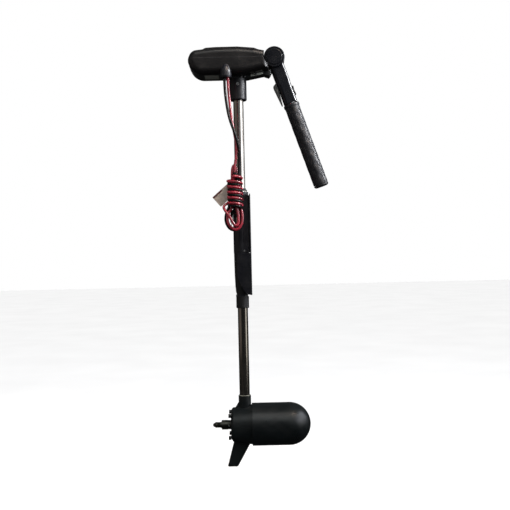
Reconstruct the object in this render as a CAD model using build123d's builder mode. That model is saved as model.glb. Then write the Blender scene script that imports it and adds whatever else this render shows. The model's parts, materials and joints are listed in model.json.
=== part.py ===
"""Electric outboard of the trolling kind: control head with a folding tiller, steering shaft
in a mounting sleeve, and an underwater motor.  Millimetres, +Z up.

The origin is the centre of the mounting pad.  Heights in the code are measured from the motor's
axis, and x and y from the steering shaft's axis; level() and side_view() place them.
"""
import os
from math import cos, pi, radians, sin

from build123d import *

os.makedirs("parts", exist_ok=True)

# ---------------------------------------------------------------- driving dimensions
mount_height = 560.0  # motor axis to the centre of the mounting pad
pad_offset = 27.0  # steering axis to the pad's face

shaft_radius = 14.0
shaft_wall = 2.5
shaft_foot = 50.0
shaft_top = 950.0
running = 0.05  # radial clearance of parts that turn or slide in each other

tube_radius = 15.4  # steering tube that turns inside the sleeve
bush_radius = 16.5
sleeve_radius = 21.4
sleeve_foot = 392.0
sleeve_step = 471.0
sleeve_top = 638.0
cheek_inside = 22.5
channel_wall = 2.0
web = 3.0
pad_half_width = 24.5
channel_foot = 356.0
channel_top = 632.0
bolt_spacing_y = 34.0
bolt_spacing_z = 60.0
bolt_hole_radius = 3.3
bolt_tap_radius = 2.5

collar_foot = 320.0
collar_top = 352.0
collar_radius = 17.5

can_radius = 58.0
can_wall = 5.0
can_start = 19.0
register_radius = 54.0  # counterbore of the can, over the rear bracket's spigot
register_end = 24.0
dome_centre = 121.5
bell_face = -38.5
bell_front = 18.0
fin_bottom = -115.0
through_bolt_circle = 42.0
output_radius = 6.0  # the motor's own shaft
drive_radius = 13.0  # its thick end behind the motor
thread_radius = 8.0
thread_pitch = 2.0
through_bolt_radius = 2.6

head_half_width = 54.0
head_wall = 3.0
head_fillet = 16.0
parting_height = 997.0
head_collar_radius = 23.5
head_collar_foot = 889.0
head_collar_top = 948.0

pivot_x = 101.0
pivot_height = 1003.0
knuckle_radius = 28.7
tongue_half = 11.5
ear_outside = 24.0
arm_lean = 19.2  # degrees between the folded arm and the vertical
neck_half_width = 19.0
neck_half_depth = 18.0
arm_step = 74.0  # along the arm, from the pivot
grip_start = 134.0
arm_length = 375.5
cap_start = arm_length - 7.0
spindle_radius = 9.9
grip_core_radius = 13.5
grip_radius = 20.5

lead_radius = 3.7
hank_x = -13.0
hank_y = -70.0
hank_top = 677.0
hank_foot = 588.0
hank_radius = 21.8
loop_foot = 533.0

shaft_x = -pad_offset

# ---------------------------------------------------------------- planes and axes
shaft_axis = Axis((shaft_x, 0, 0), (0, 0, 1))
motor_axis = Axis((shaft_x, 0, -mount_height), (1, 0, 0))


def level(height):
    """Horizontal plane on the steering axis, at a height above the motor's axis."""
    return Plane((shaft_x, 0, height - mount_height))


def side_view(y=0.0):
    """Upright plane seen from the front: x from the steering axis, height above the motor."""
    return Plane(origin=(shaft_x, y, -mount_height), x_dir=(1, 0, 0), z_dir=(0, -1, 0))


def end_view(x):
    """Plane across the motor's axis, facing forward: y, then height above the motor."""
    return Plane(origin=(shaft_x + x, 0, -mount_height), x_dir=(0, 1, 0), z_dir=(1, 0, 0))


arm_way = (sin(radians(arm_lean)), 0, -cos(radians(arm_lean)))
pivot_point = (shaft_x + pivot_x, 0, pivot_height - mount_height)
arm_axis = Axis(pivot_point, arm_way)


def arm_view():
    """Plane of the arm's side profile: distance from the pivot, then up from its underside."""
    return Plane(origin=pivot_point, x_dir=arm_way, z_dir=(0, -1, 0))


def across_arm(distance):
    """Plane across the arm: up from its underside, then towards -Y."""
    origin = arm_view().from_local_coords(Vector(distance, 0, 0))
    return Plane(origin=origin, x_dir=arm_view().y_dir, z_dir=arm_way)


# ---------------------------------------------------------------- helpers
def finish(piece, name):
    """Label a finished piece and write its file."""
    piece.part.label = name
    export_step(piece.part, f"parts/{name}.step")


def turned(points, axis, plane=None):
    """Solid of revolution from a closed half profile."""
    with BuildPart() as piece:
        with BuildSketch(plane or side_view()):
            with BuildLine():
                Polyline(*points, close=True)
            make_face()
        revolve(axis=axis)
    return piece


def upright_tube(inside, outside, low, high):
    """Tube about the steering axis."""
    return turned([(inside, low), (outside, low), (outside, high), (inside, high)], shaft_axis)


def motor_ring(inside, outside, start, end):
    """Ring about the motor's axis."""
    return turned([(start, inside), (end, inside), (end, outside), (start, outside)], motor_axis)


def arm_sleeve(inside, outside, start, end):
    """Sleeve about the tiller's axis."""
    corners = [(start, inside), (end, inside), (end, outside), (start, outside)]
    return turned(corners, arm_axis, arm_view())


def drilled(centres, plane, radius, start, depth):
    """Cylinders on a plane, each from start to start + depth along its normal."""
    with BuildPart() as piece:
        with BuildSketch(plane.offset(start)):
            with Locations(*centres):
                Circle(radius)
        extrude(amount=depth)
    return piece


# ---------------------------------------------------------------- mount
pad_plane = end_view(pad_offset)
pad_holes = [
    (y * bolt_spacing_y / 2, mount_height + z * bolt_spacing_z / 2) for y in (-1, 1) for z in (-1, 1)
]
channel_screw_holes = [(0, mount_height + 48), (0, mount_height - 48)]
channel_screw_radius = 2.0
screw_head_radius = 4.0
screw_seat = 2.0  # depth of the heads' seats in the web
block_half_width = 21.0
block_depth = 20.0
block_low = 472.0
block_high = 628.0
knob_height = 575.0
stud_radius = 4.0
boss_radius = 9.0
boss_face = 27.0
set_screw_x = 7.8
set_screw_height = 477.0
set_screw_radius = 2.6
set_screw_length = 4.4
lower_sleeve_radius = 17.8

with BuildPart() as mount_sleeve:
    with BuildSketch(side_view()):
        with BuildLine():
            Polyline(
                (0, sleeve_foot),
                (lower_sleeve_radius, sleeve_foot),
                (lower_sleeve_radius, sleeve_step),
                (sleeve_radius, sleeve_step),
                (sleeve_radius, sleeve_top),
                (0, sleeve_top),
                close=True,
            )
        make_face()
    revolve(axis=shaft_axis)
    with BuildSketch(level(block_low)):
        with Locations((pad_offset - web - block_depth / 2, 0)):
            RectangleRounded(block_depth, 2 * block_half_width, 3)
    extrude(amount=block_high - block_low)
    with BuildSketch(side_view()):
        with Locations((0, knob_height)):
            Circle(boss_radius)
    extrude(amount=-boss_face)
    with BuildSketch(level(sleeve_foot)):
        Circle(bush_radius)
    extrude(amount=sleeve_top - sleeve_foot, mode=Mode.SUBTRACT)
    with BuildSketch(pad_plane):
        with Locations(*pad_holes):
            Circle(bolt_tap_radius)
    extrude(amount=-web - 9, mode=Mode.SUBTRACT)
    with BuildSketch(pad_plane):
        with Locations(*channel_screw_holes):
            Circle(channel_screw_radius)
    extrude(amount=-web - 7, mode=Mode.SUBTRACT)
    with BuildSketch(side_view()):
        with Locations((0, knob_height)):
            Circle(stud_radius + running)
    extrude(amount=-boss_face, mode=Mode.SUBTRACT)
    with BuildSketch(side_view()):
        with Locations((set_screw_x, set_screw_height)):
            Circle(set_screw_radius)
    extrude(amount=sleeve_radius, both=True, mode=Mode.SUBTRACT)
finish(mount_sleeve, "mount_sleeve")

with BuildPart() as sleeve_set_screws:
    for side in (-1, 1):
        with BuildSketch(side_view(-side * bush_radius)):
            with Locations((set_screw_x, set_screw_height)):
                Circle(set_screw_radius)
        extrude(amount=side * set_screw_length)
        with BuildSketch(side_view(-side * (bush_radius + set_screw_length))):
            with Locations((set_screw_x, set_screw_height)):
                RegularPolygon(1.3, 6)
        extrude(amount=-side * 1.8, mode=Mode.SUBTRACT)
finish(sleeve_set_screws, "sleeve_set_screws")

cover_inside = lower_sleeve_radius + 0.05
cover_profile = [
    (tube_radius + 0.5, 360),
    (16.8, 360),
    (18.9, 378),
    (20.2, 412),
    (20.9, sleeve_step - 0.1),
    (cover_inside, sleeve_step - 0.1),
    (cover_inside, 388),
    (tube_radius + 0.5, 388),
]
finish(turned(cover_profile, shaft_axis), "lower_sleeve_cover")

web_inside = pad_offset - web
cheek_edge = -12.5
with BuildPart() as bracket_channel:
    with BuildSketch(level(channel_foot)):
        with Locations((web_inside + web / 2, 0)):
            Rectangle(web, 2 * pad_half_width)
    extrude(amount=channel_top - channel_foot)
    with BuildSketch(side_view(-cheek_inside)) as cheek:
        with BuildLine():
            Line((pad_offset, sleeve_step), (cheek_edge, sleeve_step))
            Line((cheek_edge, sleeve_step), (cheek_edge, 410))
            ThreePointArc((cheek_edge, 410), (-5.5, 388), (13, 358))
            Line((13, 358), (pad_offset, channel_foot))
            Line((pad_offset, channel_foot), (pad_offset, sleeve_step))
        make_face()
    extrude(amount=channel_wall)
    mirror(about=Plane.XZ)
    with BuildSketch(pad_plane):
        with Locations(*pad_holes):
            Circle(bolt_hole_radius)
    extrude(amount=-web, mode=Mode.SUBTRACT)
    with BuildSketch(pad_plane):
        with Locations(*channel_screw_holes):
            Circle(channel_screw_radius)
    extrude(amount=-web, mode=Mode.SUBTRACT)
    with BuildSketch(pad_plane):
        with Locations(*channel_screw_holes):
            Circle(screw_head_radius + 0.2)
    extrude(amount=-screw_seat, mode=Mode.SUBTRACT)
    fillet(bracket_channel.edges().filter_by(Axis.Z).sort_by(Axis.X)[-2:], radius=2.0)
finish(bracket_channel, "bracket_channel")

with BuildPart() as channel_screws:
    with BuildSketch(pad_plane.offset(-web - 7)):
        with Locations(*channel_screw_holes):
            Circle(channel_screw_radius)
    extrude(amount=7 + web - screw_seat)
    with BuildSketch(pad_plane.offset(-screw_seat)):
        with Locations(*channel_screw_holes):
            Circle(screw_head_radius)
    extrude(amount=screw_seat - 0.3)
    with BuildSketch(pad_plane.offset(-0.3)):
        with Locations(*channel_screw_holes):
            RegularPolygon(1.6, 6)
    extrude(amount=-1.2, mode=Mode.SUBTRACT)
finish(channel_screws, "channel_screws")

bush_bore = tube_radius + running
bush_flange_radius = 19.5
flange = 2.5
upper_bush_profile = [
    (bush_bore, 602),
    (bush_radius, 602),
    (bush_radius, sleeve_top),
    (bush_flange_radius, sleeve_top),
    (bush_flange_radius, sleeve_top + flange),
    (bush_bore, sleeve_top + flange),
]
finish(turned(upper_bush_profile, shaft_axis), "upper_bush")
lower_bush_profile = [
    (bush_bore, sleeve_foot - flange),
    (17.6, sleeve_foot - flange),
    (17.6, sleeve_foot),
    (bush_radius, sleeve_foot),
    (bush_radius, 426),
    (bush_bore, 426),
]
finish(turned(lower_bush_profile, shaft_axis), "lower_bush")

# ---------------------------------------------------------------- steering tension knob, far side
knob_face = boss_face + 1.0
knob_length = 13.0
knob_radius = 12.5
stud_tip = tube_radius + 0.4
with BuildPart() as tension_knob:
    with BuildSketch(side_view(knob_face)):
        with Locations((0, knob_height)):
            Circle(knob_radius)
            with PolarLocations(knob_radius + 1.1, 10):
                Circle(2.2, mode=Mode.SUBTRACT)
    extrude(amount=-knob_length)
    with BuildSketch(side_view(stud_tip)):
        with Locations((0, knob_height)):
            Circle(stud_radius)
    extrude(amount=-(knob_face + 1 - stud_tip))
finish(tension_knob, "tension_knob")

# ---------------------------------------------------------------- steering tube and depth collar
ring_seat = sleeve_top + flange + 0.4
tube_top = 648.0
collar_floor = 3.0
collar_lug = 5.0
collar_screw_height = (collar_foot + collar_top) / 2 + 3
collar_screw_radius = 1.8
steering_tube = upright_tube(shaft_radius + running, tube_radius, collar_foot + collar_floor, tube_top)
finish(steering_tube, "steering_tube")
finish(upright_tube(tube_radius, 18.6, ring_seat, ring_seat + 3), "tube_ring")

with BuildPart() as depth_collar:
    with BuildSketch(level(collar_foot)):
        Circle(collar_radius)
    extrude(amount=collar_top - collar_foot)
    with BuildSketch(level(collar_top)):
        with Locations((-collar_radius + 1.1, 0)):
            Rectangle(2.2, 9)
    extrude(amount=collar_lug)
    chamfer(depth_collar.edges().filter_by(GeomType.CIRCLE).sort_by(Axis.Z)[0], length=1.2)
    with BuildSketch(level(collar_foot + collar_floor)):
        Circle(tube_radius)
    extrude(amount=collar_top + collar_lug - collar_foot, mode=Mode.SUBTRACT)
    with BuildSketch(level(collar_foot)):
        Circle(shaft_radius + 0.4)
    extrude(amount=collar_floor, mode=Mode.SUBTRACT)
    with BuildSketch(side_view()):
        with Locations((0, collar_screw_height)):
            Circle(collar_screw_radius)
    extrude(amount=-collar_radius - 1, mode=Mode.SUBTRACT)
finish(depth_collar, "depth_collar")

collar_screw = drilled([(0, collar_screw_height)], side_view(), collar_screw_radius, -17.4, 2.0)
finish(collar_screw, "collar_screw")

# ---------------------------------------------------------------- steering shaft
shaft_bore = shaft_radius - shaft_wall
finish(upright_tube(shaft_bore, shaft_radius, shaft_foot, shaft_top), "shaft_tube")

conductor_foot = 24.0
conductor_top = 962.0
conductor_length = conductor_top - conductor_foot
motor_leads = drilled([(0, -4.2), (0, 4.2)], level(0), 2.6, conductor_foot, conductor_length)
finish(motor_leads, "motor_leads")

# ---------------------------------------------------------------- underwater motor: rear bracket
spigot_radius = register_radius - 0.1
bell_half_profile = [
    (register_end, 0),
    (register_end, spigot_radius),
    (bell_front, spigot_radius),
    (-33, 46.5),
    (bell_face, 39),
    (bell_face, 0),
]
socket_radius = 17.0
socket_top = 80.0
socket_floor = 20.0
ring_depth = 6.0
ring_radius = 15.6
bell_cavity = 37.0
bearing_radius = 14.0
bearing_start = -31.0
bearing_end = -20.0
seal_radius = 12.0
seal_section = 1.2
seal_x = 21.0

with BuildPart() as fin:
    with BuildSketch(side_view(-4.5)):
        with BuildLine():
            FilletPolyline(
                (-22, -30),
                (-33, -49),
                (-51, fin_bottom),
                (-22.5, fin_bottom),
                (14, -50),
                (14, -30),
                radius=(20, 3, 8, 25),
                close=False,
            )
            Line((14, -30), (-22, -30))
        make_face()
    extrude(amount=-9)
    chamfer(fin.edges().group_by(Axis.Y)[0], length=2.2)
    chamfer(fin.edges().group_by(Axis.Y)[-1], length=2.2)

with BuildPart() as gusset:
    with BuildSketch(side_view(-7)):
        with BuildLine():
            Polyline((-12, 30), (-36, 30), (-36, 44), (-27, 45.5), (-16, 63), (-12, 63), close=True)
        make_face()
    extrude(amount=-14)
    fillet(gusset.edges().filter_by(GeomType.LINE).group_by(Axis.Y)[0], radius=2.0)
    fillet(gusset.edges().filter_by(GeomType.LINE).group_by(Axis.Y)[-1], radius=2.0)

rear_bolts = [
    (through_bolt_circle * cos(pi / 4 + k * pi / 2), through_bolt_circle * sin(pi / 4 + k * pi / 2))
    for k in range(4)
]
with BuildPart() as rear_bracket:
    with BuildSketch(side_view()):
        with BuildLine():
            Polyline(*bell_half_profile, close=True)
        make_face()
    revolve(axis=motor_axis)
    fillet(rear_bracket.edges().filter_by(GeomType.CIRCLE).sort_by(Axis.X)[:2], radius=2.5)
    with BuildSketch(level(socket_floor)):
        Circle(socket_radius)
    extrude(amount=socket_top - socket_floor)
    add(fin.part)
    add(gusset.part)
    with BuildSketch(side_view()):
        with BuildLine():
            Polyline(
                (bell_face, 0),
                (bell_face, seal_radius),
                (bearing_start, seal_radius),
                (bearing_start, bearing_radius),
                (bearing_end, bearing_radius),
                (bearing_end, bell_cavity),
                (register_end, bell_cavity),
                (register_end, 0),
                close=True,
            )
        make_face()
        with Locations((seal_x, register_radius - seal_section)):
            Rectangle(2 * seal_section, 2 * seal_section)
    revolve(axis=motor_axis, mode=Mode.SUBTRACT)
    with BuildSketch(level(shaft_foot)):
        Circle(shaft_radius)
    extrude(amount=socket_top - shaft_foot, mode=Mode.SUBTRACT)
    with BuildSketch(level(socket_top - ring_depth)):
        Circle(ring_radius)
    extrude(amount=ring_depth, mode=Mode.SUBTRACT)
    with BuildSketch(level(socket_floor)):
        Circle(7.5)
    extrude(amount=shaft_foot - socket_floor, mode=Mode.SUBTRACT)
    with BuildSketch(end_view(bell_face)):
        with Locations(*rear_bolts):
            Circle(through_bolt_radius)
    extrude(amount=register_end - bell_face, mode=Mode.SUBTRACT)
finish(rear_bracket, "rear_bracket")
socket_ring = upright_tube(shaft_radius, ring_radius, socket_top - ring_depth, socket_top + 1.5)
finish(socket_ring, "socket_ring")

can_bore = can_radius - can_wall
with BuildPart() as motor_housing:
    with BuildSketch(side_view()):
        with BuildLine():
            Line((can_start, register_radius), (can_start, can_radius))
            Line((can_start, can_radius), (dome_centre, can_radius))
            CenterArc((dome_centre, 0), can_radius, 90, -90)
            Line((dome_centre + can_radius, 0), (dome_centre + can_bore, 0))
            CenterArc((dome_centre, 0), can_bore, 0, 90)
            Line((dome_centre, can_bore), (register_end, can_bore))
            Line((register_end, can_bore), (register_end, register_radius))
            Line((register_end, register_radius), (can_start, register_radius))
        make_face()
    revolve(axis=motor_axis)
    rims = motor_housing.edges().filter_by(GeomType.CIRCLE).group_by(Axis.X)[0]
    chamfer(rims.sort_by(SortBy.RADIUS)[-1], length=0.8)
finish(motor_housing, "motor_housing")

with BuildPart() as housing_seal:
    with BuildSketch(side_view()):
        with Locations((seal_x, register_radius - seal_section)):
            Circle(seal_section)
    revolve(axis=motor_axis)
finish(housing_seal, "housing_seal")

plate_start = 121.0
plate_thickness = 8.5
with BuildPart() as through_bolts:
    with BuildSketch(end_view(bell_face)):
        with Locations(*rear_bolts):
            Circle(through_bolt_radius)
    extrude(amount=plate_start + plate_thickness - bell_face)
    with BuildSketch(end_view(bell_face)):
        with Locations(*rear_bolts):
            RegularPolygon(5.6, 6)
    extrude(amount=-6.5)
finish(through_bolts, "through_bolts")

front_bearing_radius = 11.0
front_bearing_width = 7.0
with BuildPart() as front_plate:
    with BuildSketch(end_view(plate_start)):
        Circle(can_bore - 1.2)
        Circle(front_bearing_radius, mode=Mode.SUBTRACT)
        with Locations(*rear_bolts):
            Circle(through_bolt_radius, mode=Mode.SUBTRACT)
    extrude(amount=plate_thickness)
finish(front_plate, "front_bearing_plate")

shaft_hole = output_radius + running
front_end = plate_start + front_bearing_width
front_bearing = motor_ring(shaft_hole, front_bearing_radius, plate_start, front_end)
rear_bearing = motor_ring(shaft_hole, bearing_radius, bearing_start, bearing_end)
with BuildPart() as motor_bearings:
    add(front_bearing.part)
    add(rear_bearing.part)
finish(motor_bearings, "motor_bearings")
finish(motor_ring(shaft_hole, seal_radius, bell_face, bearing_start - 0.2), "shaft_seal")

core_start = 46.0
core_end = 108.0
magnet_outside = can_bore - 0.1
magnet_inside = 45.0
with BuildPart() as field_magnets:
    with BuildSketch(end_view(core_start - 2)):
        for quarter in range(4):
            with BuildLine():
                start = quarter * 90 - 29
                outer = CenterArc((0, 0), magnet_outside, start, 58)
                inner = CenterArc((0, 0), magnet_inside, start, 58)
                Line(outer @ 0, inner @ 0)
                Line(outer @ 1, inner @ 1)
            make_face()
    extrude(amount=core_end - core_start + 4)
finish(field_magnets, "field_magnets")

brush_plate_thickness = 2.5
brush_start = register_end + brush_plate_thickness
commutator_radius = 14.2
brush_length = 14.0
with BuildPart() as brush_plate:
    with BuildSketch(end_view(register_end)):
        Circle(through_bolt_circle - through_bolt_radius - 0.2)
        Circle(17, mode=Mode.SUBTRACT)
    extrude(amount=brush_plate_thickness)
finish(brush_plate, "brush_plate")

with BuildPart() as brushes:
    with BuildSketch(end_view(brush_start)):
        with PolarLocations(commutator_radius + 0.3 + brush_length / 2, 2):
            Rectangle(brush_length, 8)
    extrude(amount=9)
finish(brushes, "brushes")

# ---------------------------------------------------------------- turning parts of the motor
core_radius = 37.5
slots = 14
with BuildPart() as armature_core:
    with BuildSketch(end_view(core_start)):
        Circle(core_radius)
        with PolarLocations(core_radius, slots):
            Rectangle(16, 3.2, mode=Mode.SUBTRACT)
        Circle(output_radius, mode=Mode.SUBTRACT)
    extrude(amount=core_end - core_start)
finish(armature_core, "armature_core")

winding = 9.0
with BuildPart() as armature_windings:
    for start, depth in ((core_start, -winding), (core_end, winding - 1)):
        with BuildSketch(end_view(start)):
            Circle(34)
            Circle(13, mode=Mode.SUBTRACT)
        extrude(amount=depth)
    with BuildSketch(end_view(core_start)):
        with PolarLocations(31.5, slots):
            Rectangle(4, 3.0)
    extrude(amount=core_end - core_start)
    fillet(armature_windings.edges().filter_by(GeomType.CIRCLE).sort_by(Axis.X)[0], radius=3)
finish(armature_windings, "armature_windings")
commutator = motor_ring(output_radius, commutator_radius, bell_front + 3.5, core_start - winding - 0.5)
finish(commutator, "commutator")

drive_start = bell_face - 0.8
drive_end = -65.0
thread_end = -80.0
tip_end = -88.5
thread_depth = 0.9
pin_radius = 2.5
pin_x = drive_start - 2 * pin_radius - 0.2
land_radius = 12.5  # around the pin, below the seat that the propeller's hub slides on
seat_start = pin_x - pin_radius - 0.5
ridges = []
ridge_x = drive_end - 3.0
while ridge_x - thread_pitch > thread_end:
    ridges += [(ridge_x, thread_radius), (ridge_x - thread_pitch / 2, thread_radius - thread_depth)]
    ridge_x -= thread_pitch
output_profile = [
    (front_end, 0),
    (front_end, output_radius),
    (drive_start, output_radius),
    (drive_start, land_radius),
    (seat_start, land_radius),
    (seat_start, drive_radius),
    (drive_end + 0.8, drive_radius),
    (drive_end, drive_radius - 0.8),
    (drive_end, thread_radius),
    *ridges,
    (thread_end, thread_radius),
    (tip_end + 1.5, 4.2),
    (tip_end, 3.0),
    (tip_end, 0),
]
with BuildPart() as output_shaft:
    with BuildSketch(side_view()):
        with BuildLine():
            Polyline(*output_profile, close=True)
        make_face()
    revolve(axis=motor_axis)
    with BuildSketch(side_view()):
        with Locations((pin_x, 0)):
            Circle(pin_radius)
    extrude(amount=drive_radius + 1, both=True, mode=Mode.SUBTRACT)
finish(output_shaft, "output_shaft")

with BuildPart() as drive_pin:
    with BuildSketch(side_view()):
        with Locations((pin_x, 0)):
            Circle(pin_radius)
    extrude(amount=drive_radius + 2.5, both=True)
    chamfer(drive_pin.edges().filter_by(GeomType.CIRCLE), length=0.5)
finish(drive_pin, "drive_pin")

# ---------------------------------------------------------------- control head: outer form
head_foot = 954.0


def head_form(inset):
    """The head's outer form, smaller by inset on every side."""
    with BuildPart() as form:
        with BuildSketch(side_view()):
            with BuildLine():
                ThreePointArc((-92, head_foot), (-116, 962), (-129, 979))
                ThreePointArc((-129, 979), (-133, 993), (-129.5, 1006))
                ThreePointArc((-129.5, 1006), (-122.5, 1016), (-110, 1021))
                Polyline((-110, 1021), (-60, 1026), (0, 1026.5), (45, 1022.5), (82, 1014.5))
                Polyline((82, 1014.5), (84, 966.5), (12, head_foot), (-92, head_foot))
            make_face()
            if inset:
                offset(amount=-inset)
        extrude(amount=head_half_width - inset, both=True)
        sides = form.edges().group_by(Axis.Y)
        fillet(sides[0] + sides[-1], radius=head_fillet - inset)
    return form.part


outer_form = head_form(0)
inner_form = head_form(head_wall)
knuckle_relief = 31.0
tongue_left = 79.5
tongue_right = 91.0
screw_posts = [(-100, 27), (-100, -27), (49, 26), (49, -26)]
post_radius = 5.0
post_bore = 2.0
head_screw_radius = 3.6
collar_hole = 9.0
gasket_half = 0.5
below_head = 940.0  # a height clear below the head
above_head = 1040.0

with BuildPart() as knuckle_space:
    with BuildSketch(side_view()):
        with Locations((pivot_x, pivot_height)):
            Circle(knuckle_relief)
    extrude(amount=head_half_width + 1, both=True)
    with BuildSketch(level(below_head)):
        with Locations((pivot_x - 6, 0)):
            Rectangle(2 * (pivot_x - 6 - tongue_left) + 0.6, 2 * tongue_half + 0.6)
    extrude(amount=above_head - below_head)

with BuildPart() as head_shell:
    add(outer_form)
    add(inner_form, mode=Mode.SUBTRACT)
    with BuildSketch(side_view()):
        with Locations((pivot_x, pivot_height)):
            Circle(knuckle_relief + head_wall)
    extrude(amount=head_half_width + 1, both=True)
    add(outer_form, mode=Mode.INTERSECT)
    add(knuckle_space.part, mode=Mode.SUBTRACT)

with BuildPart() as head_lower_shell:
    add(head_shell.part)
    with BuildSketch(level(below_head)):
        with Locations(*screw_posts):
            Circle(post_radius)
    extrude(amount=parting_height - below_head)
    add(outer_form, mode=Mode.INTERSECT)
    split(bisect_by=level(parting_height - gasket_half), keep=Keep.BOTTOM)
    with BuildSketch(level(below_head)):
        with Locations(*screw_posts):
            Circle(post_bore)
    extrude(amount=parting_height - below_head, mode=Mode.SUBTRACT)
    with BuildSketch(level(below_head)):
        with Locations(*screw_posts):
            Circle(head_screw_radius + 0.2)
    extrude(amount=head_foot + head_wall - below_head, mode=Mode.SUBTRACT)
    with BuildSketch(level(below_head)):
        Circle(collar_hole)
    extrude(amount=24, mode=Mode.SUBTRACT)
finish(head_lower_shell, "head_lower_shell")

screw_reach = 14.0
with BuildPart() as head_upper_shell:
    add(head_shell.part)
    with BuildSketch(level(parting_height)):
        with Locations(*screw_posts):
            Circle(post_radius)
    extrude(amount=above_head - parting_height)
    add(outer_form, mode=Mode.INTERSECT)
    split(bisect_by=level(parting_height + gasket_half), keep=Keep.TOP)
    with BuildSketch(level(parting_height)):
        with Locations(*screw_posts):
            Circle(post_bore)
    extrude(amount=screw_reach, mode=Mode.SUBTRACT)
finish(head_upper_shell, "head_upper_shell")

with BuildPart() as head_gasket:
    add(head_shell.part)
    split(bisect_by=level(parting_height - gasket_half), keep=Keep.TOP)
    split(bisect_by=level(parting_height + gasket_half), keep=Keep.BOTTOM)
finish(head_gasket, "head_gasket")

with BuildPart() as head_screws:
    with BuildSketch(level(head_foot + head_wall)):
        with Locations(*screw_posts):
            Circle(post_bore)
    extrude(amount=parting_height + screw_reach - head_foot - head_wall)
    with BuildSketch(level(head_foot + 0.6)):
        with Locations(*screw_posts):
            Circle(head_screw_radius)
    extrude(amount=head_wall - 0.6)
finish(head_screws, "head_screws")

# Raised cover plate along the top of the head
panel_left = -97.0
panel_right = 58.0
panel_half_width = 32.0
with BuildPart() as top_panel:
    with BuildSketch(side_view()):
        with BuildLine():
            Polyline(
                (panel_left, 1022.3),
                (panel_left + 1, 1024.8),
                (panel_left + 12, 1028.8),
                (-60, 1030.2),
                (0, 1030.5),
                (45, 1026.4),
                (panel_right, 1023.2),
                (panel_right, 1019.7),
                (45, 1022.5),
                (0, 1026.5),
                (-60, 1026),
                close=True,
            )
        make_face()
    extrude(amount=panel_half_width, both=True)
    with BuildSketch(level(1010)):
        with Locations(((panel_left + panel_right) / 2, 0)):
            RectangleRounded(panel_right - panel_left, 2 * panel_half_width, 12)
    extrude(amount=30, mode=Mode.INTERSECT)
finish(top_panel, "top_panel")

# ---------------------------------------------------------------- tiller bracket under the head
bracket_half_width = 20.0
bolt_radius = 6.0
with BuildPart() as tiller_bracket:
    with BuildSketch(side_view()):
        with BuildLine():
            Polyline(
                (-20, head_collar_top),
                (26, head_collar_top),
                (72, 957),
                (86, 952),
                (tongue_right, 958),
                (tongue_right, 968),
                (80, 970),
                (-20, 970),
                close=True,
            )
        make_face()
    extrude(amount=bracket_half_width, both=True)
    fillet(tiller_bracket.edges().filter_by(Axis.Z), radius=3)
    add(outer_form, mode=Mode.SUBTRACT)
    with BuildSketch(side_view()):
        with BuildLine():
            Polyline(
                (tongue_left + 0.3, 953.3),
                (tongue_right - 4, 953.3),
                (tongue_right, 958),
                (pivot_x + 8, pivot_height - 12.6),
                (pivot_x - 12.6, pivot_height + 8),
                (tongue_left + 0.3, 985),
                close=True,
            )
        make_face()
        with Locations((pivot_x, pivot_height)):
            Circle(15)
    extrude(amount=tongue_half, both=True)
    with BuildSketch(side_view()):
        with Locations((pivot_x, pivot_height)):
            Circle(bolt_radius)
    extrude(amount=tongue_half, both=True, mode=Mode.SUBTRACT)
    with BuildSketch(level(head_collar_top)):
        Circle(collar_hole)
    extrude(amount=24, mode=Mode.SUBTRACT)
    with BuildSketch(level(head_collar_top)):
        Circle(shaft_radius)
    extrude(amount=shaft_top - head_collar_top, mode=Mode.SUBTRACT)
finish(tiller_bracket, "tiller_bracket")

clamp_screw_height = 932.0
clamp_screw_radius = 2.4
clamp_seat = 17.5  # distance of the screws' seats from the shaft's axis
with BuildPart() as head_collar:
    with BuildSketch(level(head_collar_foot)):
        Circle(head_collar_radius)
    extrude(amount=head_collar_top - head_collar_foot)
    fillet(head_collar.edges().filter_by(GeomType.CIRCLE).sort_by(Axis.Z)[0], radius=3)
    with BuildSketch(level(head_collar_foot)):
        Circle(shaft_radius)
    extrude(amount=head_collar_top - head_collar_foot, mode=Mode.SUBTRACT)
    for side in (-1, 1):
        with BuildSketch(side_view(side * clamp_seat)):
            with Locations((0, clamp_screw_height)):
                Circle(5)
        extrude(amount=-side * 8, mode=Mode.SUBTRACT)
    with BuildSketch(side_view()):
        with Locations((0, clamp_screw_height)):
            Circle(clamp_screw_radius)
    extrude(amount=head_collar_radius, both=True, mode=Mode.SUBTRACT)
finish(head_collar, "head_collar")

with BuildPart() as collar_clamp_screws:
    for side in (-1, 1):
        with BuildSketch(side_view(side * shaft_radius)):
            with Locations((0, clamp_screw_height)):
                Circle(clamp_screw_radius)
        extrude(amount=-side * (clamp_seat - shaft_radius))
        with BuildSketch(side_view(side * clamp_seat)):
            with Locations((0, clamp_screw_height)):
                Circle(4.2)
        extrude(amount=-side * 3.8)
        with BuildSketch(side_view(side * (clamp_seat + 3.8))):
            with Locations((0, clamp_screw_height)):
                RegularPolygon(2.0, 6)
        extrude(amount=side * 2.0, mode=Mode.SUBTRACT)
finish(collar_clamp_screws, "collar_clamp_screws")

bracket_screw_places = [(11, 951), (20.5, 951)]
screw_height = 1.8
with BuildPart() as bracket_screws:
    for side in (-1, 1):
        with BuildSketch(side_view(side * bracket_half_width)):
            with Locations(*bracket_screw_places):
                Circle(2.3)
        extrude(amount=-side * screw_height)
        with BuildSketch(side_view(side * (bracket_half_width + screw_height))):
            with Locations(*bracket_screw_places):
                Rectangle(3.4, 0.7)
        extrude(amount=side * 0.9, mode=Mode.SUBTRACT)
finish(bracket_screws, "bracket_screws")

with BuildPart() as pivot_bolt:
    with BuildSketch(side_view()):
        with Locations((pivot_x, pivot_height)):
            Circle(bolt_radius)
    extrude(amount=ear_outside - 0.4, both=True)
finish(pivot_bolt, "pivot_bolt")

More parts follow.
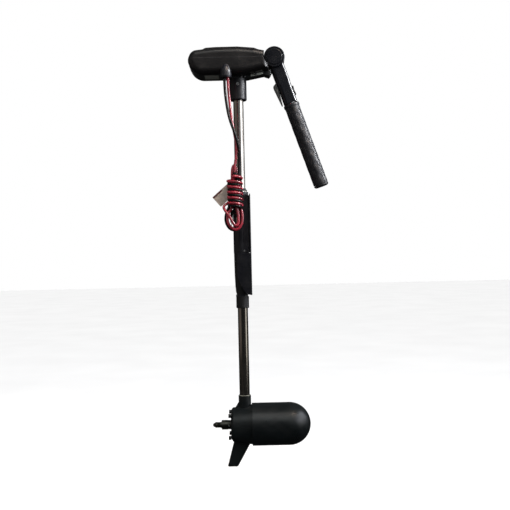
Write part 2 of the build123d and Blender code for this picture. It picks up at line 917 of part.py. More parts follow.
# Blank rating plates on the underside of the head and on the tiller bracket
plate_recess = 0.6
with BuildPart() as rating_plates:
    with BuildSketch(level(head_foot - plate_recess)):
        with Locations((-70.5, -7)):
            RectangleRounded(38, 46, 2)
    extrude(amount=plate_recess)
    with BuildSketch(side_view(-bracket_half_width)):
        with BuildLine():
            Polyline((36, 950.8), (69, 957.2), (69, 962.5), (36, 957), close=True)
        make_face()
    extrude(amount=plate_recess)
finish(rating_plates, "rating_plates")

# ---------------------------------------------------------------- electronics in the head
board_height = 972.0
board_thickness = 1.6
board_top = level(board_height + board_thickness)
with BuildPart() as control_board:
    with BuildSketch(level(board_height)):
        with Locations((-38, 0)):
            Rectangle(112, 60)
        with Locations((-12, 0)):
            Circle(12, mode=Mode.SUBTRACT)
    extrude(amount=board_thickness)
finish(control_board, "control_board")

with BuildPart() as board_components:
    with BuildSketch(board_top):
        for step in range(5):  # power transistors against the heat sink
            with Locations((-78 + 13 * step, 20)):
                Rectangle(9.5, 5)
    extrude(amount=12)
    with BuildSketch(board_top):
        with Locations((-78, -12), (-60, -12), (-42, -12)):  # capacitors
            Circle(7.5)
    extrude(amount=19)
    with BuildSketch(board_top):
        with Locations((-20, -22)):
            Rectangle(14, 10)
    extrude(amount=5)
finish(board_components, "board_components")

with BuildPart() as heat_sink:
    with BuildSketch(board_top):
        with Locations((-52, 25.5)):
            Rectangle(70, 5)
        for step in range(10):
            with Locations((-83.5 + 7 * step, 30)):
                Rectangle(1.6, 7)
    extrude(amount=16)
finish(heat_sink, "heat_sink")

# ---------------------------------------------------------------- strain relief on the near side
relief_x = -31.0
relief_y = -50.0
relief_foot = 943.0
relief_radius = 15.0
relief_axis = Axis((shaft_x + relief_x, relief_y, 0), (0, 0, 1))
with BuildPart() as strain_relief:
    with BuildSketch(side_view(relief_y)):
        with BuildLine():
            Line((relief_x, relief_foot), (relief_x + relief_radius - 1, relief_foot))
            Line((relief_x + relief_radius - 1, relief_foot), (relief_x + relief_radius, 947))
            Line((relief_x + relief_radius, 947), (relief_x + relief_radius, 956))
            ThreePointArc((relief_x + relief_radius, 956), (relief_x + 10.5, 971), (relief_x, 983))
            Line((relief_x, 983), (relief_x, relief_foot))
        make_face()
    revolve(axis=relief_axis)
    add(outer_form, mode=Mode.SUBTRACT)
finish(strain_relief, "strain_relief")

# ---------------------------------------------------------------- tiller arm
slot_radius = 41.0
cable_way = 9.0
with BuildPart() as tiller_arm:
    with BuildSketch(arm_view()):
        Circle(knuckle_radius)
    extrude(amount=ear_outside, both=True)
    chamfer(tiller_arm.edges().filter_by(GeomType.CIRCLE), length=2.0)
    with BuildSketch(across_arm(0)):
        RectangleRounded(2 * neck_half_width, 2 * neck_half_depth, 8)
    extrude(amount=arm_step)
    with BuildSketch(arm_view()):
        Circle(slot_radius)
    extrude(amount=tongue_half + 0.5, both=True, mode=Mode.SUBTRACT)
    with BuildSketch(arm_view()):
        Circle(bolt_radius + running)
    extrude(amount=ear_outside + 1, both=True, mode=Mode.SUBTRACT)
    with BuildSketch(across_arm(slot_radius)):
        Circle(cable_way)
    extrude(amount=arm_step - slot_radius, mode=Mode.SUBTRACT)
finish(tiller_arm, "tiller_arm")

with BuildPart() as pivot_caps:
    for side in (-1, 1):
        with BuildSketch(arm_view().offset(side * ear_outside)):
            Circle(21.5)
        extrude(amount=side * 1.8)
    fillet(pivot_caps.edges().group_by(Axis.Y)[0], radius=1.2)
    fillet(pivot_caps.edges().group_by(Axis.Y)[-1], radius=1.2)
finish(pivot_caps, "pivot_caps")

rocker_pivot = (101.0, 15.5)  # along the arm, up from its axis
rocker_length = 28.0
rocker_width = 15.0
rocker_trunnion = 1.5
lever_pivot = (84.0, -16.5)
lever_start = 80.0
lever_end = 128.0
lever_width = 17.0
lever_trunnion = 1.6
trunnion_reach = 2.5  # of the trunnions beyond the rocker's and the lever's sides
pocket_gap = 0.6
pocket_depth = 7.5
housing_half_width = 18.3
housing_half_depth = 18.8
lever_middle = (lever_start + lever_end) / 2
with BuildPart() as switch_housing:
    with BuildSketch(across_arm(arm_step)):
        RectangleRounded(2 * housing_half_width, 2 * housing_half_depth, 9)
    extrude(amount=grip_start - 2 - arm_step)
    with BuildSketch(across_arm(arm_step)):
        Circle(spindle_radius)
    extrude(amount=grip_start - arm_step, mode=Mode.SUBTRACT)
    with BuildSketch(arm_view()):
        with Locations((rocker_pivot[0], housing_half_width)):
            Rectangle(rocker_length + 2, 2 * pocket_depth)
    extrude(amount=rocker_width / 2 + pocket_gap, both=True, mode=Mode.SUBTRACT)
    with BuildSketch(arm_view()):
        with Locations((lever_middle, -housing_half_width)):
            Rectangle(lever_end - lever_start + 2.4, 2 * pocket_depth - 2)
    extrude(amount=lever_width / 2 + pocket_gap, both=True, mode=Mode.SUBTRACT)
    with BuildSketch(arm_view()):
        with Locations(rocker_pivot):
            Circle(rocker_trunnion + running)
    extrude(amount=rocker_width / 2 + trunnion_reach + 0.3, both=True, mode=Mode.SUBTRACT)
    with BuildSketch(arm_view()):
        with Locations(lever_pivot):
            Circle(lever_trunnion + running)
    extrude(amount=lever_width / 2 + trunnion_reach + 0.3, both=True, mode=Mode.SUBTRACT)
finish(switch_housing, "switch_housing")

finish(arm_sleeve(0, spindle_radius, arm_step + 4, cap_start - 1), "grip_spindle")

rocker_edge = rocker_length / 2 - 1
with BuildPart() as direction_switch:
    with BuildSketch(arm_view()):
        with BuildLine():
            Polyline(
                (rocker_pivot[0] - rocker_edge + 2, 15.1),
                (rocker_pivot[0] - rocker_edge, 22.8),
                (rocker_pivot[0], 21.4),
                (rocker_pivot[0] + rocker_edge, 22.8),
                (rocker_pivot[0] + rocker_edge - 2, 15.1),
                (rocker_pivot[0], 13.1),
                close=True,
            )
        make_face()
    extrude(amount=rocker_width / 2, both=True)
    fillet(direction_switch.edges().filter_by(Axis.Y), radius=1.0)
    with BuildSketch(arm_view()):
        with Locations(rocker_pivot):
            Circle(rocker_trunnion)
    extrude(amount=rocker_width / 2 + trunnion_reach, both=True)
finish(direction_switch, "direction_switch")

with BuildPart() as release_lever:
    with BuildSketch(arm_view()):
        with BuildLine():
            Polyline(
                (lever_start, -13.7),
                (lever_start, -20.8),
                (lever_start + 10, -26.5),
                (lever_end - 3, -27.5),
                (lever_end, -24.5),
                (lever_end - 3, -22.6),
                (lever_start + 16, -21.6),
                (lever_start + 10, -13.7),
                close=True,
            )
        make_face()
    extrude(amount=lever_width / 2, both=True)
    fillet(release_lever.edges().filter_by(Axis.Y), radius=0.9)
    with BuildSketch(arm_view()):
        with Locations(lever_pivot):
            Circle(lever_trunnion)
    extrude(amount=lever_width / 2 + trunnion_reach, both=True)
finish(release_lever, "release_lever")

# Return spring of the lever, drawn at the length it has when the lever is pressed
spring_at = lever_end - 12
spring_seat = arm_view().from_local_coords(Vector(spring_at, -12.4, 0))
with BuildPart() as lever_spring:
    with BuildLine() as coil:
        Helix(pitch=1.6, height=4.8, radius=3.2, center=spring_seat, direction=-arm_view().y_dir)
    with BuildSketch(Plane(origin=coil.line @ 0, z_dir=coil.line % 0)):
        Circle(0.5)
    sweep()
finish(lever_spring, "lever_spring")

# ---------------------------------------------------------------- twist grip
grip_core = arm_sleeve(spindle_radius + running, grip_core_radius, grip_start, cap_start)
finish(grip_core, "grip_core")
grip_profile = [
    (grip_start, grip_core_radius),
    (grip_start, grip_radius + 1.3),
    (grip_start + 7, grip_radius + 1.5),
    (grip_start + 10, grip_radius - 0.3),
    (cap_start - 2, grip_radius),
    (cap_start, grip_radius - 0.5),
    (cap_start, grip_core_radius),
]
finish(turned(grip_profile, arm_axis, arm_view()), "grip_rubber")
end_cap_profile = [
    (cap_start, 0),
    (cap_start, grip_radius - 0.3),
    (cap_start + 4, grip_radius - 0.6),
    (arm_length, grip_radius - 4),
    (arm_length, 0),
]
finish(turned(end_cap_profile, arm_axis, arm_view()), "grip_end_cap")

# ---------------------------------------------------------------- battery leads, hank and tag
red_route = [
    (-26, relief_y, relief_foot),
    (-25.6, -50.5, 915),
    (-22, -53, 872),
    (-18, -56, 826),
    (-10, -61, 784),
    (-5, -67, 746),
    (-11, -71, 708),
    (-14, -71, hank_top),
]
black_route = [
    (-35, relief_y, relief_foot),
    (-35, -51.5, 914),
    (-31, -57, 872),
    (-24, -64, 830),
    (-9, -70, 788),
    (2, -71, 748),
    (1, -71, 708),
    (-2, -71, hank_top),
]


def bend_radii(points):
    """The largest arc that fits at each inner corner: 0.45 of its shorter run."""
    radii = []
    for before, corner, after in zip(points, points[1:], points[2:]):
        first = Vector(*corner) - Vector(*before)
        second = Vector(*after) - Vector(*corner)
        half_turn = radians(first.get_angle(second)) / 2
        shorter = min(first.length, second.length)
        radii.append(0.45 * shorter * cos(half_turn) / sin(half_turn))
    return radii


def lead(route, name):
    """One battery lead from its strain relief down to the hank."""
    points = [(shaft_x + x, y, height - mount_height) for x, y, height in route]
    radii = bend_radii(points)
    with BuildPart() as tube:
        with BuildLine() as path:
            FilletPolyline(*points, radius=radii)
        with BuildSketch(Plane(origin=path.line @ 0, z_dir=path.line % 0)):
            Circle(lead_radius)
        sweep()
    length = path.wires()[0].length
    full_volume = pi * lead_radius**2 * length
    print(name, "length", round(length), "volume ratio", round(tube.part.volume / full_volume, 4))
    print(name, "radii", [round(radius) for radius in radii])
    finish(tube, name)


lead(red_route, "lead_red")
lead(black_route, "lead_black")

loop_centre_x = -19.0
loop_width = 47.0
loop_top = hank_foot + 12.0
with BuildPart() as cable_hank:
    with BuildSketch(level(hank_foot)):
        with Locations((hank_x, hank_y)):
            Circle(hank_radius)
    extrude(amount=hank_top - hank_foot)
    with BuildSketch(side_view(hank_y)):
        with Locations((loop_centre_x, (loop_foot + loop_top) / 2)):
            RectangleRounded(loop_width, loop_top - loop_foot, loop_width / 2 - 0.5)
    extrude(amount=12, both=True)
finish(cable_hank, "cable_hank")

terminal_y = -50.0
terminal_height = loop_foot + 6
terminal_thickness = 1.6
with BuildPart() as ring_terminals:
    for x in (-25, -9):
        with BuildSketch(end_view(x)):
            with Locations((terminal_y, terminal_height)):
                Circle(7.5)
                Circle(4.2, mode=Mode.SUBTRACT)
            with Locations((terminal_y, terminal_height + 11)):
                Rectangle(7, 9)
        extrude(amount=terminal_thickness)
        with BuildSketch(level(terminal_height + 14)):
            with Locations((x + terminal_thickness / 2, terminal_y)):
                Circle(3.6)
        extrude(amount=16)
finish(ring_terminals, "ring_terminals")

tag_y = -47.4
with BuildPart() as hang_tag:
    with BuildSketch(side_view(tag_y)):
        with Locations((-41.5, 628)):
            RectangleRounded(58, 34, 2, rotation=41)
    extrude(amount=0.8)
finish(hang_tag, "hang_tag")
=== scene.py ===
"""Looks of the trolling motor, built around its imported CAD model. Metres, +Z up."""
import json
from math import cos, pi, radians, sin

import bmesh
import bpy
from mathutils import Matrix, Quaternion, Vector


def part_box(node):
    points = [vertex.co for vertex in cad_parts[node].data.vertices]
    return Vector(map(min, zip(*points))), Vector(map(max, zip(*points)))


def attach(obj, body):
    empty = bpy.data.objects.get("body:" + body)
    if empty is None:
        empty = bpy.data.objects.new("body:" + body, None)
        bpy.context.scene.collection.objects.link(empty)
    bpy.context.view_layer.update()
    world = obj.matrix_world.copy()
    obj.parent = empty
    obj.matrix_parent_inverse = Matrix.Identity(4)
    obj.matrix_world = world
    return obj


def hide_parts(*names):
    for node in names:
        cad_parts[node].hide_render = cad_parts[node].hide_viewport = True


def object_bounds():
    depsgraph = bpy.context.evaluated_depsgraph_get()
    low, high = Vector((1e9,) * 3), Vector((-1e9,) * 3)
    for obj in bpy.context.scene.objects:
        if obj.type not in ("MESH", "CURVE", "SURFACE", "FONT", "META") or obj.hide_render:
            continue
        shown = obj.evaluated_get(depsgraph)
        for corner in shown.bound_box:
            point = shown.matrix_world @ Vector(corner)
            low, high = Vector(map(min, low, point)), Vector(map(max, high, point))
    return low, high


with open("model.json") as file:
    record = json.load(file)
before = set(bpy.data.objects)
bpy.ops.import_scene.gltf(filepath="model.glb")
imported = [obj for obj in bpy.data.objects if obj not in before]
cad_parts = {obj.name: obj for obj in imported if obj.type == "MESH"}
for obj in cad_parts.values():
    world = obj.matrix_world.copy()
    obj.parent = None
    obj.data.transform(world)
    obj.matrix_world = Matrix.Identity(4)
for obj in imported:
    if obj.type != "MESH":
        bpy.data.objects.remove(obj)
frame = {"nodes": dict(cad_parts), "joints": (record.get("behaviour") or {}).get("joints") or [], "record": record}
cad_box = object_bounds()
nodes = frame["nodes"]
MM = 0.001

# ---------------------------------------------------------------- places read from the frame
shaft_low, shaft_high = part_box("shaft_tube")
shaft_x = (shaft_low.x + shaft_high.x) / 2
motor_low, motor_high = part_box("motor_housing")
motor_z = (motor_low.z + motor_high.z) / 2
joint_at = {joint["name"]: joint for joint in frame["joints"]}
pivot = Vector(joint_at["tiller_fold"]["pos_m"])
arm_way = Vector(joint_at["grip_twist"]["axis"]).normalized()
arm_up = Vector((-arm_way.z, 0, arm_way.x))


def from_shaft(x, y, height):
    """A point given in millimetres: x from the steering axis, y, and height above the motor's axis."""
    return Vector((shaft_x + x * MM, y * MM, motor_z + height * MM))


# ---------------------------------------------------------------- camera
camera_distance = 2.2
camera_azimuth = 0.0
camera_roll = 1.27
target = Vector((0.0097, 0.0, -0.0954))
camera_data = bpy.data.cameras.new("camera")
camera_data.sensor_width = 36.0
camera_data.lens = 56.5
camera_data.clip_end = 50.0
camera = bpy.data.objects.new("camera", camera_data)
bpy.context.scene.collection.objects.link(camera)
azimuth = radians(camera_azimuth)
camera.location = target + camera_distance * Vector((sin(azimuth), -cos(azimuth), 0))
sight = (target - camera.location).normalized()
camera.rotation_mode = "QUATERNION"
camera.rotation_quaternion = Quaternion(sight, radians(camera_roll)) @ sight.to_track_quat("-Z", "Y")
bpy.context.scene.camera = camera


# ---------------------------------------------------------------- material helpers
class Look:
    """A Principled material whose colour, roughness and bump come from noise in the object's space."""

    def __init__(self, name, roughness, metallic=0.0, **sockets):
        self.material = bpy.data.materials.new(name)
        self.material.use_nodes = True
        self.nodes = self.material.node_tree.nodes
        self.links = self.material.node_tree.links
        self.shader = self.nodes["Principled BSDF"]
        self.shader.inputs["Roughness"].default_value = roughness
        self.shader.inputs["Metallic"].default_value = metallic
        for socket, value in sockets.items():
            self.shader.inputs[socket.replace("_", " ")].default_value = value
        self.place = self.nodes.new("ShaderNodeTexCoord").outputs["Object"]
        self.height = None

    def stretched(self, stretch):
        mapping = self.nodes.new("ShaderNodeMapping")
        mapping.inputs["Scale"].default_value = stretch
        self.links.new(self.place, mapping.inputs["Vector"])
        return mapping.outputs["Vector"]

    def noise(self, scale, detail=4.0, stretch=(1, 1, 1), distortion=0.0):
        texture = self.nodes.new("ShaderNodeTexNoise")
        texture.inputs["Scale"].default_value = scale
        texture.inputs["Detail"].default_value = detail
        texture.inputs["Distortion"].default_value = distortion
        self.links.new(self.stretched(stretch), texture.inputs["Vector"])
        return texture.outputs["Fac"]

    def color(self, fac, *stops):
        """Base colour from fac: stops are (position, (r, g, b))."""
        ramp = self.nodes.new("ShaderNodeValToRGB")
        while len(ramp.color_ramp.elements) < len(stops):
            ramp.color_ramp.elements.new(1.0)
        for element, (position, rgb) in zip(ramp.color_ramp.elements, stops):
            element.position = position
            element.color = (*rgb, 1.0)
        self.links.new(fac, ramp.inputs["Fac"])
        self.links.new(ramp.outputs["Color"], self.shader.inputs["Base Color"])
        return self

    def rough(self, fac, low, high):
        """Roughness from low to high over the middle of fac's range."""
        spread = self.nodes.new("ShaderNodeMapRange")
        spread.inputs["From Min"].default_value = 0.3
        spread.inputs["From Max"].default_value = 0.7
        spread.inputs["To Min"].default_value = low
        spread.inputs["To Max"].default_value = high
        self.links.new(fac, spread.inputs["Value"])
        self.links.new(spread.outputs["Result"], self.shader.inputs["Roughness"])
        return self

    def bump(self, fac, depth, strength=1.0):
        """Adds a bump of that depth in metres, on top of the earlier ones."""
        bump = self.nodes.new("ShaderNodeBump")
        bump.inputs["Strength"].default_value = strength
        bump.inputs["Distance"].default_value = depth
        self.links.new(fac, bump.inputs["Height"])
        if self.height is not None:
            self.links.new(self.height, bump.inputs["Normal"])
        self.height = bump.outputs["Normal"]
        self.links.new(self.height, self.shader.inputs["Normal"])
        return self


def shade(rgb, factor):
    return tuple(min(1.0, channel * factor) for channel in rgb)


def moulded(name, rgb, roughness, grain=900.0, depth=0.00004, **sockets):
    """Moulded plastic: fine grain, faint flow marks and handling marks."""
    look = Look(name, roughness, **sockets)
    flow = look.noise(9.0, 5.0, distortion=0.6)
    look.color(flow, (0.3, shade(rgb, 0.8)), (0.7, shade(rgb, 1.25)))
    look.rough(look.noise(35.0, 6.0), roughness - 0.06, roughness + 0.08)
    look.bump(look.noise(grain, 2.0), depth)
    look.bump(look.noise(22.0, 2.0), 0.0003, 0.15)
    return look.material


def painted(name, rgb, roughness, peel=420.0, depth=0.00005, **sockets):
    """Powder coat: orange peel, dust and slight rubbed patches."""
    look = Look(name, roughness, **sockets)
    patches = look.noise(14.0, 8.0, distortion=1.0)
    look.color(patches, (0.25, shade(rgb, 0.7)), (0.55, rgb), (0.8, shade(rgb, 1.7)))
    look.rough(look.noise(50.0, 8.0), roughness - 0.08, roughness + 0.12)
    look.bump(look.noise(peel, 3.0), depth)
    return look.material


def metal(name, rgb, roughness, along=(1, 1, 1), scale=250.0, **sockets):
    """Drawn or turned metal: streaks along the direction whose stretch is small."""
    look = Look(name, roughness, metallic=1.0, **sockets)
    streaks = look.noise(scale, 6.0, along)
    stain = look.noise(18.0, 6.0, distortion=0.8)
    look.color(stain, (0.3, shade(rgb, 0.72)), (0.6, rgb), (0.85, shade(rgb, 1.2)))
    look.rough(streaks, roughness * 0.6, roughness * 1.6)
    look.bump(streaks, 0.00001)
    return look.material


def stippled_rubber(name, rgb, roughness):
    look = Look(name, roughness)
    look.color(look.noise(60.0, 6.0), (0.3, shade(rgb, 0.6)), (0.75, shade(rgb, 1.8)))
    look.rough(look.noise(45.0, 5.0), roughness - 0.1, roughness + 0.1)
    look.bump(look.noise(700.0, 3.0), 0.00008)
    return look.material


def insulation(name, rgb, dark, coat, gloss):
    """Soft PVC: slightly waxy, with dust and a faint lay of the strands under it."""
    look = Look(name, 0.34, Coat_Weight=coat, Coat_Roughness=0.24, Specular_IOR_Level=gloss)
    look.color(look.noise(40.0, 6.0), (0.3, dark), (0.7, rgb))
    look.rough(look.noise(90.0, 4.0), 0.34, 0.52)
    look.bump(look.noise(300.0, 3.0), 0.00006)
    return look.material


def card(name, rgb):
    look = Look(name, 0.85)
    look.color(look.noise(120.0, 8.0), (0.3, shade(rgb, 0.78)), (0.7, shade(rgb, 1.12)))
    look.bump(look.noise(1500.0, 4.0, (1, 0.4, 1)), 0.00005)
    return look.material


materials = {
    "head_plastic": moulded("head_plastic", (0.0040, 0.0038, 0.0042), 0.34),
    "arm_plastic": moulded("arm_plastic", (0.0028, 0.0032, 0.0050), 0.20, 500.0, 0.00001),
    "motor_paint": painted("motor_paint", (0.0030, 0.0045, 0.0050), 0.35),
    "sleeve_paint": painted("sleeve_paint", (0.0035, 0.0037, 0.0060), 0.34),
    "cover_plastic": moulded("cover_plastic", (0.0028, 0.0028, 0.0032), 0.55),
    "shaft_steel": metal("shaft_steel", (0.52, 0.48, 0.43), 0.12, (1, 1, 0.02)),
    "output_steel": metal("output_steel", (0.075, 0.073, 0.065), 0.35, (1, 0.05, 0.05)),
    "fastener_steel": metal("fastener_steel", (0.62, 0.62, 0.62), 0.30),
    "black_fastener": metal("black_fastener", (0.04, 0.04, 0.04), 0.40),
    "grip_rubber": stippled_rubber("grip_rubber", (0.0040, 0.0045, 0.0070), 0.52),
    "lead_red": insulation("lead_red", (0.30, 0.010, 0.028), (0.10, 0.003, 0.008), 0.5, 0.5),
    "lead_black": insulation("lead_black", (0.0060, 0.0055, 0.0058), (0.003, 0.003, 0.003), 0.0, 0.2),
    "terminal_metal": metal("terminal_metal", (0.68, 0.63, 0.52), 0.28),
    "tag_card": card("tag_card", (0.34, 0.28, 0.24)),
    "plate_grey": moulded("plate_grey", (0.20, 0.215, 0.19), 0.5),
    "lever_grey": moulded("lever_grey", (0.030, 0.033, 0.032), 0.45),
    "seal_grey": stippled_rubber("seal_grey", (0.16, 0.16, 0.13), 0.6),
    "gasket_rubber": stippled_rubber("gasket_rubber", (0.0055, 0.0062, 0.0095), 0.42),
    "bush_plastic": moulded("bush_plastic", (0.40, 0.39, 0.36), 0.45),
    "board": moulded("board", (0.01, 0.10, 0.03), 0.35),
    "components": moulded("components", (0.02, 0.02, 0.02), 0.5),
    "heat_sink": metal("heat_sink", (0.70, 0.70, 0.70), 0.35, (1, 0.05, 1)),
    "magnet": moulded("magnet", (0.04, 0.04, 0.04), 0.7),
    "core_steel": metal("core_steel", (0.30, 0.30, 0.31), 0.45, (8, 0.2, 0.2)),
    "winding_copper": metal("winding_copper", (0.55, 0.22, 0.09), 0.30, (0.2, 4, 4)),
    "commutator_copper": metal("commutator_copper", (0.62, 0.30, 0.18), 0.30, (4, 0.2, 0.2)),
    "bearing_steel": metal("bearing_steel", (0.60, 0.60, 0.60), 0.18),
    "carbon": moulded("carbon", (0.02, 0.02, 0.02), 0.6),
    "spring_steel": metal("spring_steel", (0.45, 0.45, 0.45), 0.3),
}
parting_look = stippled_rubber("parting_line", (0.022, 0.022, 0.024), 0.4)
band_look = card("tag_band", (0.075, 0.014, 0.014))

for row in frame["record"]["subparts"]:
    node = nodes[row["node"]]
    node.data.materials.clear()
    node.data.materials.append(materials[row["material_slot"]])
    node.data.polygons.foreach_set("use_smooth", [True] * len(node.data.polygons))
nodes["head_gasket"].data.materials[0] = parting_look


# ---------------------------------------------------------------- piece helpers
def link(name, data, body, slot):
    """An object from data, riding on a body, with that slot's material."""
    piece = bpy.data.objects.new(name, data)
    bpy.context.scene.collection.objects.link(piece)
    data.materials.append(materials[slot])
    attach(piece, body)
    return piece


# ---------------------------------------------------------------- battery leads
lead_diameter = 7.4 * MM
red_route = [
    (-26, -50, 943),
    (-25.6, -50.5, 915),
    (-22, -53, 872),
    (-18, -56, 826),
    (-10, -61, 784),
    (-5, -67, 746),
    (-11, -71, 708),
    (-14, -71, 677),
]
black_route = [
    (-35, -50, 943),
    (-35, -51.5, 914),
    (-31, -57, 872),
    (-24, -64, 830),
    (-9, -70, 788),
    (2, -71, 748),
    (1, -71, 708),
    (-2, -71, 677),
]
hank_x, hank_y = -13.0, -70.0
turn_points = 14
turn_pitch = 14.3


def wraps(first_angle, top, radius, count):
    """Points of a lead's turns round the hank, going down."""
    steps = int(count * turn_points)
    points = []
    for step in range(steps + 1):
        angle = radians(first_angle) + 2 * pi * step / turn_points
        wobble = 0.4 * sin(1.7 * step + first_angle)
        points.append(
            (
                hank_x + (radius + wobble) * cos(angle),
                hank_y + (radius + wobble) * sin(angle),
                top - turn_pitch * step / turn_points + 0.5 * sin(0.9 * step),
            )
        )
    return points


red_hank = [
    (-13, -70, 640),
    (-14, -70, 606),
    (-23, -72, 590),
    (-33, -73, 575),
    (-35, -73, 558),
    (-28, -74, 541),
    (-13, -74, 531),
    (0, -74, 540),
    (6, -73, 558),
    (5, -70, 580),
    (-3, -66, 600),
    (-7, -63, 640),
    (-7, -63, 680),
    (-9, -63, 699),
    (-14, -62, 707),
    (-19, -64, 697),
    (-20, -66, 676),
    (-20, -66, 630),
    (-24, -67, 607),
    (-36, -68, 603),
    (-45, -72, 595),
    (-40, -79, 584),
    (-30, -83, 571),
    (-22, -85, 556),
    (-15, -84, 543),
    (-7, -82, 545),
    (-4, -81, 562),
    (-8, -80, 588),
    (-15, -78, 612),
    (-15, -78, 650),
    (-20, -80, 668),
]
black_hank = [
    (-4, -70, 640),
    (-3, -70, 606),
    (2, -66, 586),
    (3, -64, 564),
    (-3, -65, 543),
    (-17, -66, 530),
    (-32, -67, 538),
    (-40, -68, 556),
    (-38, -70, 577),
    (-27, -73, 598),
    (-21, -74, 620),
    (-21, -74, 660),
    (-17, -77, 678),
    (-11, -78, 684),
    (-6, -77, 674),
    (-7, -77, 640),
    (-7, -76, 606),
    (-9, -73, 580),
    (-13, -69, 566),
    (-17, -64, 572),
    (-16, -62, 592),
    (-15, -61, 620),
    (-15, -61, 650),
]
barrel_y = -50.0
barrel_top = 569.0
red_end = [(-16, -50, 586), (-8.2, -49.5, 582), (-8.2, barrel_y, barrel_top - 3)]
black_end = [(-20, -52, 585), (-24.2, -50, 578), (-24.2, barrel_y, barrel_top - 3)]


def cord_curve(name, points, slot):
    """A lead: one smooth spline with these control points, with the insulation's thickness."""
    curve = bpy.data.curves.new(name, "CURVE")
    curve.dimensions = "3D"
    spline = curve.splines.new("NURBS")
    spline.points.add(len(points) - 1)
    for point, place in zip(spline.points, points):
        point.co = (*from_shaft(*place), 1.0)
    spline.order_u = 3
    spline.use_endpoint_u = True
    curve.resolution_u = 6
    curve.bevel_depth = lead_diameter / 2
    curve.bevel_resolution = 5
    curve.use_fill_caps = True
    return link(name, curve, "shaft", slot)


red_points = red_route + red_hank + wraps(-100, 674, 19.0, 5.5) + red_end
black_points = black_route + black_hank + wraps(80, 660, 17.2, 4.9) + black_end
red_cord = cord_curve("battery_lead_red", red_points, "lead_red")
black_cord = cord_curve("battery_lead_black", black_points, "lead_black")
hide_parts("lead_red", "cable_hank")
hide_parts("lead_black")


# ---------------------------------------------------------------- twist grip's rubber
arm_side = Vector((0, 1, 0))
grip_low = 134.0
grip_outline = [(134.0, 20.6), (134.6, 21.8), (141.0, 22.0), (143.5, 20.5), (362.0, 20.5), (368.5, 20.3)]
grip_inside = 13.55
pad_period = 36.0
pad_depth = 0.8


def on_arm(distance, radius, angle):
    """A point round the arm: millimetres along it from the pivot and out from its axis."""
    out = arm_up * cos(angle) + arm_side * sin(angle)
    return pivot + arm_way * (distance * MM) + out * (radius * MM)


def outline_radius(outline, distance):
    for (start, first), (end, last) in zip(outline, outline[1:]):
        if distance <= end:
            return first + (last - first) * (distance - start) / (end - start)
    return outline[-1][1]


def smooth_step(low, high, value):
    part = min(1.0, max(0.0, (value - low) / (high - low)))
    return part * part * (3 - 2 * part)


def grip_mesh():
    """The rubber sleeve, with rows of staggered oval hollows pressed into it."""
    around = 120
    distances = [134.0, 134.3, 134.6, 136.0, 138.5, 141.0, 142.2, 143.5]
    distances += [144.0 + 0.9 * step for step in range(249)]
    rings = []
    for distance in distances:
        ring = []
        edge = smooth_step(146, 152, distance) * (1 - smooth_step(357, 363, distance))
        for step in range(around):
            angle = 2 * pi * step / around
            wave = cos(2 * pi * (distance - grip_low) / pad_period) * cos(5 * angle)
            hollow = pad_depth * edge * smooth_step(0.1, 0.7, wave)
            ring.append(on_arm(distance, outline_radius(grip_outline, distance) - hollow, angle))
        rings.append(ring)
    for distance in (distances[-1], distances[0]):
        rings.append([on_arm(distance, grip_inside, 2 * pi * step / around) for step in range(around)])
    verts = [point for ring in rings for point in ring]
    faces = []
    for row in range(len(rings)):
        below, above = row * around, (row + 1) % len(rings) * around
        for step in range(around):
            beside = (step + 1) % around
            faces.append((below + step, below + beside, above + beside, above + step))
    mesh = bpy.data.meshes.new("grip_rubber_pads")
    mesh.from_pydata(verts, [], faces)
    mesh.polygons.foreach_set("use_smooth", [True] * len(faces))
    mesh.set_sharp_from_angle(angle=radians(50))
    form = bmesh.new()
    form.from_mesh(mesh)
    bmesh.ops.recalc_face_normals(form, faces=form.faces)
    form.to_mesh(mesh)
    form.free()
    return mesh


grip = link("grip_rubber_pads", grip_mesh(), "twist_grip", "grip_rubber")
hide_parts("grip_rubber")


# ---------------------------------------------------------------- release lever and tag band
def prism(name, outline, half_depth, place, bevel):
    """A closed prism: outline points through place, from -half_depth to half_depth, with rounded edges."""
    count = len(outline)
    verts = [place(u, v, side * half_depth) for side in (-1, 1) for u, v in outline]
    faces = [tuple(range(count)), tuple(reversed(range(count, 2 * count)))]
    for step in range(count):
        beside = (step + 1) % count
        faces.append((step, count + step, count + beside, beside))
    mesh = bpy.data.meshes.new(name)
    mesh.from_pydata(verts, [], faces)
    form = bmesh.new()
    form.from_mesh(mesh)
    bmesh.ops.recalc_face_normals(form, faces=form.faces)
    bmesh.ops.bevel(form, geom=form.edges[:], offset=bevel * MM, segments=3, affect="EDGES", profile=0.5)
    form.to_mesh(mesh)
    form.free()
    mesh.polygons.foreach_set("use_smooth", [True] * len(mesh.polygons))
    mesh.set_sharp_from_angle(angle=radians(40))
    return mesh


def beside_arm(along, out, across):
    """A point in the arm's own directions, in millimetres from the pivot."""
    return pivot + arm_way * (along * MM) + arm_up * (out * MM) + arm_side * (across * MM)


lever_outline = [
    (66.5, -19.6),
    (72.5, -29.4),
    (80.0, -29.6),
    (104.0, -27.4),
    (130.0, -24.9),
    (131.0, -23.4),
    (108.0, -21.0),
    (87.0, -19.0),
]
lever_mesh = prism("release_paddle", lever_outline, 10.6, beside_arm, 0.9)
paddle = link("release_paddle", lever_mesh, "release_lever", "lever_grey")
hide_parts("release_lever")

tag_middle = Vector((-41.5, -48.35, 628.0))
tag_turn = radians(41.0)
band_strip = [(-28.8, 12.2), (3.0, 12.2), (3.0, 16.8), (-28.8, 16.8)]


def on_tag(along, up, across):
    x = tag_middle.x + along * cos(tag_turn) - up * sin(tag_turn)
    height = tag_middle.z + along * sin(tag_turn) + up * cos(tag_turn)
    return from_shaft(x, tag_middle.y + across, height)


band = link("hang_tag_band", prism("hang_tag_band", band_strip, 0.12, on_tag, 0.05), "shaft", "tag_card")
band.data.materials[0] = band_look


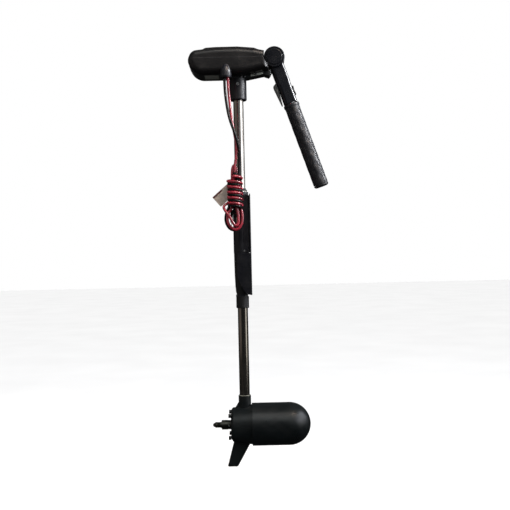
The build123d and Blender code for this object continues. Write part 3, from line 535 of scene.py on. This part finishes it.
# ---------------------------------------------------------------- floor, world and lights
def plane(name, size, height, material):
    mesh = bpy.data.meshes.new(name)
    half = size / 2
    corners = [(-half, -half, height), (half, -half, height), (half, half, height), (-half, half, height)]
    mesh.from_pydata(corners, [], [(0, 1, 2, 3)])
    mesh.materials.append(material)
    piece = bpy.data.objects.new(name, mesh)
    bpy.context.scene.collection.objects.link(piece)
    return piece


floor_look = Look("floor", 0.9)
floor_look.color(floor_look.noise(2.0, 3.0), (0.3, (0.86, 0.86, 0.86)), (0.7, (0.9, 0.9, 0.9)))
slide_room = 0.26  # a little more than the shaft slides down, so the motor stays above the floor
floor = plane("floor", 40.0, cad_box[0].z - slide_room, floor_look.material)
floor.visible_glossy = False
floor.visible_diffuse = False

world = bpy.data.worlds.new("studio")
bpy.context.scene.world = world
world.use_nodes = True
world_nodes = world.node_tree.nodes
world_links = world.node_tree.links
background = world_nodes["Background"]
background.inputs["Color"].default_value = (1.0, 1.0, 1.0, 1.0)
light_path = world_nodes.new("ShaderNodeLightPath")
direction = world_nodes.new("ShaderNodeTexCoord")
split_direction = world_nodes.new("ShaderNodeSeparateXYZ")
world_links.new(direction.outputs["Generated"], split_direction.inputs["Vector"])


def sky_ramp(below, above):
    """World strength that changes from below to above across the horizon."""
    ramp = world_nodes.new("ShaderNodeMapRange")
    ramp.inputs["From Min"].default_value = -0.15
    ramp.inputs["From Max"].default_value = 0.15
    ramp.inputs["To Min"].default_value = below
    ramp.inputs["To Max"].default_value = above
    world_links.new(split_direction.outputs["Z"], ramp.inputs["Value"])
    return ramp.outputs["Result"]


def pick(factor, when_not, when):
    """One of two strengths, by factor; when is None for a plain 1.0."""
    mix = world_nodes.new("ShaderNodeMix")
    world_links.new(factor, mix.inputs["Factor"])
    world_links.new(when_not, mix.inputs["A"])
    if when is None:
        mix.inputs["B"].default_value = 1.0
    else:
        world_links.new(when, mix.inputs["B"])
    return mix.outputs["Result"]


lighting = pick(light_path.outputs["Is Glossy Ray"], sky_ramp(0.12, 1.1), sky_ramp(0.012, 0.035))
sky = pick(light_path.outputs["Is Camera Ray"], lighting, None)
world_links.new(sky, background.inputs["Strength"])


def softbox(name, location, aim, size, radiance, tint, spread=180.0):
    """A rectangular light of that radiance, narrowed to spread degrees."""
    data = bpy.data.lights.new(name, "AREA")
    data.shape = "RECTANGLE"
    data.size, data.size_y = size
    data.energy = radiance * pi * size[0] * size[1]
    data.color = tint
    data.spread = radians(spread)
    lamp = bpy.data.objects.new(name, data)
    bpy.context.scene.collection.objects.link(lamp)
    lamp.location = location
    lamp.rotation_mode = "QUATERNION"
    lamp.rotation_quaternion = (Vector(aim) - Vector(location)).to_track_quat("-Z", "Y")
    lamp.visible_camera = False
    return lamp


softbox("right", (2.45, -0.55, 1.0), (0, 0, 0.9), (3.3, 2.1), 3.4, (0.90, 0.93, 1.0))
softbox("low_right", (2.2, -0.7, -0.35), (0, 0, -0.5), (1.2, 0.7), 0.9, (1.0, 0.98, 0.92))
softbox("front_top", (0.85, -1.05, 1.85), (0.03, 0, 0.45), (1.1, 0.7), 1.0, (1.0, 0.80, 0.66), 34.0)
softbox("overhead", (0.1, -1.3, 1.0), (0.05, 0, -0.55), (2.4, 1.7), 0.17, (0.93, 1.0, 1.0), 56.0)
softbox("front_right", (1.0, -2.7, 0.85), (0.0, 0, 0.42), (1.6, 0.8), 0.3, (0.88, 0.92, 1.0))
softbox("glint", (2.23, -0.38, 1.45), (0.11, 0, 0.39), (0.45, 0.6), 2.6, (0.97, 0.98, 1.0), 26.0)
softbox("left", (-2.4, -0.9, 0.3), (0, 0, 0.2), (3.0, 2.0), 0.12, (1.0, 0.86, 0.78))
bpy.context.scene.view_settings.view_transform = "Standard"
